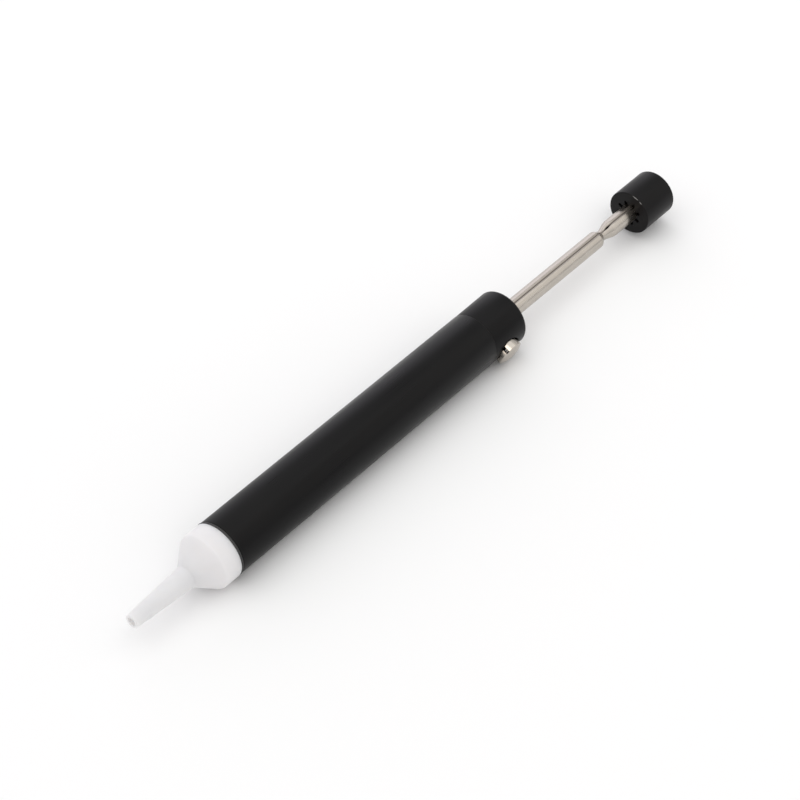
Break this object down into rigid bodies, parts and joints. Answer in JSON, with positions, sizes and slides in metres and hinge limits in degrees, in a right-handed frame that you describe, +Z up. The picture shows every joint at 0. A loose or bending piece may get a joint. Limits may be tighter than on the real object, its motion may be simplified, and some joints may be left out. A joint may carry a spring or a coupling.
{
  "type": "desoldering pump",
  "caption": "Hand-held desoldering pump: black tube with a tapered white nozzle, a side release button and a spring-loaded plunger with a thumb knob.",
  "frame": {"origin": "centre of the nozzle's mouth", "axes": "+X along the pump from the nozzle to the thumb knob, +Z up with the pump lying on its side; the trigger button faces -Y and 24 degrees below the horizontal"},
  "size_m": [0.266, 0.0225, 0.0203],
  "materials": {
    "nozzle_plastic": "waxy satin white, slightly translucent",
    "barrel_plastic": "satin black",
    "cap_plastic": "satin black",
    "knob_plastic": "satin black",
    "core_plastic": "matt black",
    "inner_plastic": "natural moulded plastic",
    "seal_rubber": "matt black rubber",
    "felt": "oiled grey felt",
    "brass": "turned brass",
    "plated_steel": "nickel plate, softly polished",
    "plain_steel": "plain steel",
    "spring_steel": "drawn wire"
  },
  "bodies": {
    "housing": {"barrel": "barrel_plastic", "end_cap": "cap_plastic", "rod_bush": "brass", "rod_felt": "felt", "rear_bumper": "seal_rubber", "spring_seat": "inner_plastic", "seat_oring": "seal_rubber", "front_ring": "seal_rubber", "latch_washer": "plain_steel", "main_spring": "spring_steel", "trigger_spring": "spring_steel"},
    "nozzle_unit": {"nozzle": "nozzle_plastic", "nozzle_oring": "seal_rubber"},
    "plunger": {"plunger_rod": "plated_steel", "knob": "knob_plastic", "piston": "inner_plastic", "piston_oring": "seal_rubber", "piston_pin": "spring_steel", "piston_washer": "plain_steel", "pin_stud": "brass", "cleaning_pin": "spring_steel"},
    "trigger": {"trigger_button": "plated_steel", "button_core": "core_plastic", "latch_plate": "plain_steel"}
  },
  "joints": [
    {"name": "plunger_slide", "type": "slide", "parent": "housing", "child": "plunger", "axis": [-1, 0, 0], "range_m": [0, 0.0644], "stiffness_N_per_m": 150, "springref_m": -0.06, "deforming": ["main_spring"]},
    {"name": "trigger_press", "type": "slide", "parent": "housing", "child": "trigger", "axis": [0, 0.9135, 0.4067], "range_m": [0, 0.0015], "stiffness_N_per_m": 300, "springref_m": -0.005, "deforming": ["trigger_spring"]},
    {"name": "nozzle_pull", "type": "slide", "parent": "housing", "child": "nozzle_unit", "axis": [-1, 0, 0], "range_m": [0, 0.014]}
  ]
}
